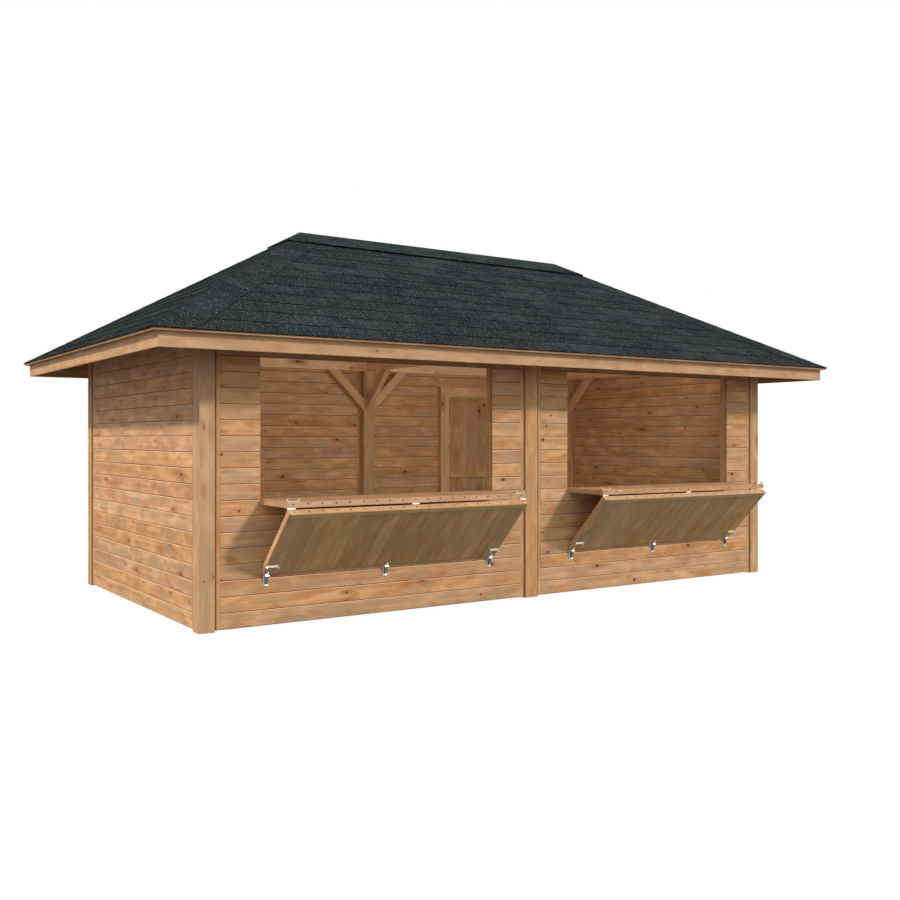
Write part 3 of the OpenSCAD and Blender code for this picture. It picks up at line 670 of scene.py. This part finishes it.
# Roof boards: level boards nailed across the rafters of each slope, sawn off along the hips and plumb at the
# eaves, where their edges show as a pale line above the fascia.
deck_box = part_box("roof_front")
deck_l, deck_w = deck_box[1].x, -deck_box[0].y
ridge_half = deck_l - deck_w
ridge_z = deck_box[1].z
deck_t, deck_ease = 0.017, 0.002
pitch = math.radians(30)
deck_wood = softwood("deck_wood", (0.47, 0.27, 0.13, 1), (0.40, 0.22, 0.10, 1),
                     (0.38, 0.235, 0.125, 1), knots=0.1)
eave_z = ridge_z - deck_w * math.tan(pitch)
slope_l = deck_w / math.cos(pitch)


def on_slope(out):
    """The frame of a slope's upper face: x along the eave, y up the slope, z out of it."""
    along = along_z.cross(out)
    up = along_z * math.sin(pitch) - out * math.cos(pitch)
    place = Matrix((along, up, along.cross(up))).transposed().to_4x4()
    place.translation = out * (deck_w if abs(out.y) > 0.5 else deck_l) + along_z * eave_z
    return place


def saw(mesh, spot, away):
    """Saws off what lies past a plane and closes the cut."""
    everything = mesh.verts[:] + mesh.edges[:] + mesh.faces[:]
    bmesh.ops.bisect_plane(mesh, geom=everything, plane_co=spot, plane_no=away, clear_outer=True)
    open_edges = [bitumen_black_and_painted_shade for bitumen_black_and_painted_shade in mesh.edges if bitumen_black_and_painted_shade.is_boundary]
    return bmesh.ops.holes_fill(mesh, edges=open_edges)["faces"]


def saw_hips(mesh, out):
    """Saws a slope's pieces off along its two hips."""
    along = along_z.cross(out)
    cuts = []
    for side in (-1, 1):
        apex = along * side * ridge_half if abs(out.y) > 0.5 else out * ridge_half
        cuts += saw(mesh, apex, (along * side - out).normalized())
    return [face for face in cuts if face.is_valid]


slopes = {"roof_front": -along_y, "roof_back": along_y, "roof_left": -along_x, "roof_right": along_x}
deck_rows = math.ceil(slope_l / board_pitch)
for name, out in slopes.items():
    deck = workpiece()
    place = on_slope(out)
    half = deck_l if abs(out.y) > 0.5 else deck_w
    for row in range(deck_rows):
        low_y = row * board_pitch if row else -2 * deck_t
        timber(deck, (-half, low_y, -deck_t), (half, (row + 1) * board_pitch, 0), along_x, deck_ease, place)
    cuts = saw_hips(deck, out)
    cuts += saw(deck, place.translation, out)
    cuts += saw(deck, Vector(), -out)
    lay_grain(deck, [face for face in cuts if face.is_valid], along_z.cross(out))
    piece(name + "_boards", deck, deck_wood, "hut", "wood", name)

# Shingles: square cut bitumen tabs with mineral granules, laid in rows from the eave up, each row set half a
# tab along. They are nailed to the roof boards over a dark underlay and hang a little past the eaves.
tab_w, tab_rows, tab_gap = 0.445, 12, 0.007
tab_butt, tab_head, tab_lift = 0.0060, 0.0022, 0.0004
underlay, underlay_lift, underlay_back = 0.0012, 0.0003, 0.002
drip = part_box("roof_covering")[1].x - deck_l


def granules(name, dark, light, green):
    """Bitumen shingle: dark granules of several greys, blotched from tab to tab, with a coarse skin."""
    material = bpy.data.materials.new(name)
    material.use_nodes = True
    tree = material.node_tree
    shader = tree.nodes["Principled BSDF"]
    spot = add(tree, "TexCoord").outputs["Object"]
    tone = add(tree, "VertexColor", layer_name="tone").outputs[0]
    own = add(tree, "SeparateColor", {0: tone}).outputs
    blotches = noise(tree, spot, (2.6, 4.0, 7.0), 4.0, 0.8)
    moss = noise(tree, spot, (1.7, 2.2, 4.0), 3.0, 0.6)
    specks = noise(tree, spot, (100.0, 100.0, 100.0), 2.0)
    grit = noise(tree, spot, (420.0, 420.0, 420.0), 2.0)
    lift = calc(tree, "ADD", blotches, calc(tree, "MULTIPLY", calc(tree, "SUBTRACT", own[0], 0.5), 0.2))
    colour = mixed(tree, remap(tree, lift, 0.36, 0.66, 0.0, 1.0), dark, light)
    moss = calc(tree, "ADD", moss, calc(tree, "MULTIPLY", calc(tree, "SUBTRACT", own[1], 0.5), 0.10))
    colour = mixed(tree, remap(tree, moss, 0.46, 0.64, 0.0, 0.8), colour, green)
    colour = mixed(tree, remap(tree, specks, 0.54, 0.72, 0.0, 0.8), colour, (0.115, 0.125, 0.130, 1))
    colour = mixed(tree, remap(tree, specks, 0.30, 0.47, 0.8, 0.0), colour, (0.002, 0.0025, 0.003, 1))
    # near black on all but the upper faces: the black of cut bitumen, deepened as painted shade along butts,
    # gaps and cap edges
    bitumen_black_and_painted_shade = calc(tree, "LESS_THAN", own[2], 0.02)
    colour = mixed(tree, calc(tree, "MULTIPLY", bitumen_black_and_painted_shade, 0.75), colour, (0.003, 0.003, 0.003, 1))
    tree.links.new(colour, shader.inputs["Base Color"])
    tree.links.new(remap(tree, specks, 0.3, 0.7, 0.85, 0.98), shader.inputs["Roughness"])
    shader.inputs["Specular IOR Level"].default_value = 0.0
    relief = add(tree, "Bump", {"Strength": 0.6, "Distance": 0.0015, "Height": grit})
    tree.links.new(relief.outputs[0], shader.inputs["Normal"])
    return material


bitumen = granules("bitumen", (0.0118, 0.0155, 0.0188, 1), (0.0272, 0.0312, 0.0338, 1),
                   (0.0150, 0.0225, 0.0200, 1))


def shade_tab(mesh, faces, face_up=None):
    """Gives a tab's upper faces their own tone, and the rest near black: partly the black of cut bitumen,
    partly painted shade at butts, gaps and edges.
    """
    tone = mesh.loops.layers.float_color["tone"]
    shade = (rng.random(), rng.random(), 0.1 + 0.9 * rng.random(), 1.0)
    for face in faces:
        face.normal_update()
        shows = face_up and face.normal.dot(face_up) > 0.8
        for loop in face.loops:
            loop[tone] = shade if shows else (0, 0, 0, 1)


def pour(mesh, into):
    """Adds one mesh to another and frees it."""
    data = bpy.data.meshes.new("poured")
    mesh.to_mesh(data)
    mesh.free()
    into.from_mesh(data)
    bpy.data.meshes.remove(data)


def tab(mesh, x0, x1, y0, y1, place):
    """One shingle tab: a thin wedge, thick at its lower edge."""
    known = set(mesh.faces)
    corners = bmesh.ops.create_cube(mesh, size=1.0)["verts"]
    for corner in corners:
        x, y, z = corner.co
        rise = tab_butt if y < 0 else tab_head
        corner.co = (x0 if x < 0 else x1, y0 if y < 0 else y1, rise if z > 0 else tab_lift)
    bmesh.ops.transform(mesh, matrix=place, verts=corners)
    fresh = [face for face in mesh.faces if face not in known]
    shade_tab(mesh, fresh, place.to_3x3() @ along_z)


cover = workpiece()
for name, out in slopes.items():
    side = workpiece()
    place = on_slope(out)
    half = deck_l if abs(out.y) > 0.5 else deck_w
    foot = -drip / math.cos(pitch)
    row_h = (slope_l - foot) / tab_rows
    for row in range(tab_rows):
        low_y = foot + row * row_h
        x = -half - drip - (row % 2) * tab_w / 2
        while x < half + drip:
            tab(side, x + tab_gap / 2, x + tab_w - tab_gap / 2, low_y, low_y + row_h, place)
            x += tab_w
    known = set(side.faces)
    sheet = bmesh.ops.create_cube(side, size=1.0)["verts"]
    sheet_h, sheet_mid = slope_l - foot - underlay_back, (slope_l + foot + underlay_back) / 2
    bmesh.ops.scale(side, vec=(2 * (half + drip), sheet_h, underlay), verts=sheet)
    bmesh.ops.translate(side, vec=(0, sheet_mid, underlay / 2 + underlay_lift), verts=sheet)
    bmesh.ops.transform(side, matrix=place, verts=sheet)
    shade_tab(side, [face for face in side.faces if face not in known])
    shade_tab(side, saw_hips(side, out))
    pour(side, cover)
piece("shingle_tabs", cover, bitumen, "hut", "shingle", "roof_covering")

# Hip and ridge caps: flat pieces of shingle folded over each hip, laid from the eave up, each lapped by the
# next. A wider piece is bent over the ridge and both its ends and stands a little proud of the rows.
cap_step, cap_reach = 0.168, 0.217
cap_under, cap_butt, cap_head = 0.004, 0.0085, 0.0068
hip_caps = workpiece()
for side_x in (-1, 1):
    for side_y in (-1, 1):
        outs = (along_x * side_x, along_y * side_y)
        foot = outs[0] * (deck_l + drip) + outs[1] * (deck_w + drip)
        foot += along_z * (eave_z - drip * math.tan(pitch))
        apex = outs[0] * ridge_half + along_z * ridge_z
        climb = (apex - foot).normalized()
        normals = [out * math.sin(pitch) + along_z * math.cos(pitch) for out in outs]
        aways = [normals[0].cross(climb), normals[1].cross(climb)]
        aways = [away if away.dot(outs[1 - index]) < 0 else -away for index, away in enumerate(aways)]
        fold_lift = (normals[0] + normals[1]) / (1 + normals[0].dot(normals[1]))
        caps = workpiece()
        for index in range(math.ceil((apex - foot).length / cap_step)):
            ends = []
            for reach, rise in ((index * cap_step, cap_butt), ((index + 1) * cap_step, cap_head)):
                spot = foot + climb * reach
                ends.append([caps.verts.new(corner) for corner in (
                    spot + aways[0] * cap_reach + normals[0] * cap_under,
                    spot + aways[0] * cap_reach + normals[0] * rise,
                    spot + fold_lift * rise,
                    spot + aways[1] * cap_reach + normals[1] * rise,
                    spot + aways[1] * cap_reach + normals[1] * cap_under,
                    spot + fold_lift * cap_under)])
            fresh = [caps.faces.new((ends[0][k - 1], ends[0][k], ends[1][k], ends[1][k - 1]))
                     for k in range(6)]
            for a, b, c, d, e, f in ends:
                fresh += [caps.faces.new((a, b, c, f)), caps.faces.new((f, c, d, e))]
            bmesh.ops.recalc_face_normals(caps, faces=fresh)
            shade_tab(caps, fresh, (normals[0] + normals[1]).normalized())
        for spot, away in ((foot, outs[0]), (foot, outs[1]), (Vector(), -outs[1])):
            shade_tab(caps, saw(caps, spot, away))
        pour(caps, hip_caps)
piece("hip_caps", hip_caps, bitumen, "hut", "shingle")

hat = workpiece()
hat_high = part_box("ridge_cap")[1]
hat_thick, hat_round, fold_near = 0.007, 0.006, 0.001
rim_z = hat_high.z - hat_high.y * math.tan(pitch)
rim = [hat.verts.new((x * hat_high.x, y * hat_high.y, rim_z))
       for x, y in ((-1, -1), (1, -1), (1, 1), (-1, 1))]
left_end, right_end = [hat.verts.new((side * ridge_half, 0, hat_high.z)) for side in (-1, 1)]
top = [hat.faces.new(corners) for corners in (
    (rim[0], rim[1], right_end, left_end), (rim[1], rim[2], right_end),
    (rim[2], rim[3], left_end, right_end), (rim[3], rim[0], left_end))]
moved = bmesh.ops.extrude_face_region(hat, geom=top)["geom"]
bmesh.ops.translate(hat, vec=-along_z * hat_thick,
                    verts=[v for v in moved if isinstance(v, bmesh.types.BMVert)])
bmesh.ops.recalc_face_normals(hat, faces=hat.faces[:])
folds = [bitumen_black_and_painted_shade for bitumen_black_and_painted_shade in hat.edges
         if max(v.co.z for v in bitumen_black_and_painted_shade.verts) > hat_high.z - fold_near and len(bitumen_black_and_painted_shade.link_faces) == 2]
bmesh.ops.bevel(hat, geom=folds, offset=hat_round, segments=2, profile=0.5, affect="EDGES", material=-1)
shade_tab(hat, hat.faces[:], along_z)
piece("ridge_hat", hat, bitumen, "hut", "shingle", "ridge_cap")

# Floor: a wide pale sheet under the hut, not a part of it. It shows white to the lens, throws little light
# back and keeps the hut's soft shadow.
floor_size, floor_white = 60, 0.92
floor = bmesh.new()
bmesh.ops.create_grid(floor, x_segments=1, y_segments=1, size=floor_size)
floor_data = bpy.data.meshes.new("floor")
floor.to_mesh(floor_data)
floor.free()
pale_floor = bpy.data.materials.new("pale_floor")
pale_floor.use_nodes = True
tree = pale_floor.node_tree
tree.nodes.remove(tree.nodes["Principled BSDF"])
matt = add(tree, "BsdfDiffuse", {"Color": (0.11, 0.11, 0.11, 1)}).outputs[0]
path = add(tree, "LightPath").outputs
seen = calc(tree, "MAXIMUM", path["Is Camera Ray"], path["Is Glossy Ray"])
seen = calc(tree, "MAXIMUM", seen, path["Is Transmission Ray"])
shown = calc(tree, "MULTIPLY", seen, floor_white)
glow = add(tree, "Emission", {"Color": (1, 1, 1, 1), "Strength": shown}).outputs[0]
both = add(tree, "AddShader", {0: matt, 1: glow}).outputs[0]
tree.links.new(both, tree.nodes["Material Output"].inputs["Surface"])
floor_data.materials.append(pale_floor)
floor_sheet = bpy.data.objects.new("floor", floor_data)
bpy.context.scene.collection.objects.link(floor_sheet)

# Light: a broad key from the front right, a warm one from the left, a weak one from the front and a dim
# even sky. A panel behind the head of each serving opening, which no lens sees, lifts the inside.
fill_h, fill_z, fill_back, fill_shift = 0.3, 1.85, 0.15, 0.25
fill_aim = Vector((0, 0.9, -0.1))
sky_dim = 0.69
world = bpy.data.worlds.new("studio")
bpy.context.scene.world = world
world.use_nodes = True
tree = world.node_tree
path = add(tree, "LightPath").outputs
seen = calc(tree, "MAXIMUM", path["Is Camera Ray"], path["Is Glossy Ray"])
seen = calc(tree, "MAXIMUM", seen, path["Is Transmission Ray"])
sky = tree.nodes["Background"]
tree.links.new(mixed(tree, seen, (0.88, 1.0, 1.08, 1), (1, 1, 1, 1)), sky.inputs["Color"])
tree.links.new(remap(tree, seen, 0.0, 1.0, sky_dim, 1.0), sky.inputs["Strength"])
for side, strength in ((-1, 16.3), (1, 18.3)):
    fill = bpy.data.lights.new("fill", "AREA")
    fill.shape = "RECTANGLE"
    fill.size, fill.size_y = open_out - open_in, fill_h
    fill.energy = strength
    fill.color = (0.98, 0.97, 0.94)
    panel = bpy.data.objects.new("fill", fill)
    panel_x = side * (open_in + open_out) / 2 - fill_shift * (side > 0)
    panel.location = (panel_x, inner_y + fill_back, fill_z)
    panel.rotation_euler = fill_aim.to_track_quat("-Z", "Z").to_euler()
    panel.visible_camera = False
    panel.visible_glossy = False
    bpy.context.scene.collection.objects.link(panel)
for name, source, strength, spread, shade in (
        ("key", (0.283, -0.462, 0.375), 1.95, 7, (1.0, 0.94, 0.87)),
        ("side", (-1.0, 0.1, 1.15), 3.0, 3, (1.0, 0.90, 0.77)),
        ("front", (-0.4, -1.0, 0.15), 0.5, 40, (1.0, 0.94, 0.87))):
    lamp = bpy.data.lights.new(name, "SUN")
    lamp.energy = strength
    lamp.angle = math.radians(spread)
    lamp.color = shade
    made = bpy.data.objects.new(name, lamp)
    made.rotation_euler = Vector(source).to_track_quat("Z", "Y").to_euler()
    bpy.context.scene.collection.objects.link(made)

# Camera: a level view from the front left, a little below eye height, with a slight shift of the lens to
# set the hut in the frame.
lens = bpy.data.cameras.new("camera")
lens.sensor_width = 36.0
lens.lens = 40.4366
lens.shift_y = -0.013215
lens.clip_end = 300
camera = bpy.data.objects.new("camera", lens)
camera.location = (-5.52176, -8.41901, 1.38841)
camera.rotation_euler = (math.radians(90), 0, math.radians(-33.9738))
bpy.context.scene.collection.objects.link(camera)
bpy.context.scene.camera = camera
bpy.context.scene.view_settings.view_transform = "Standard"
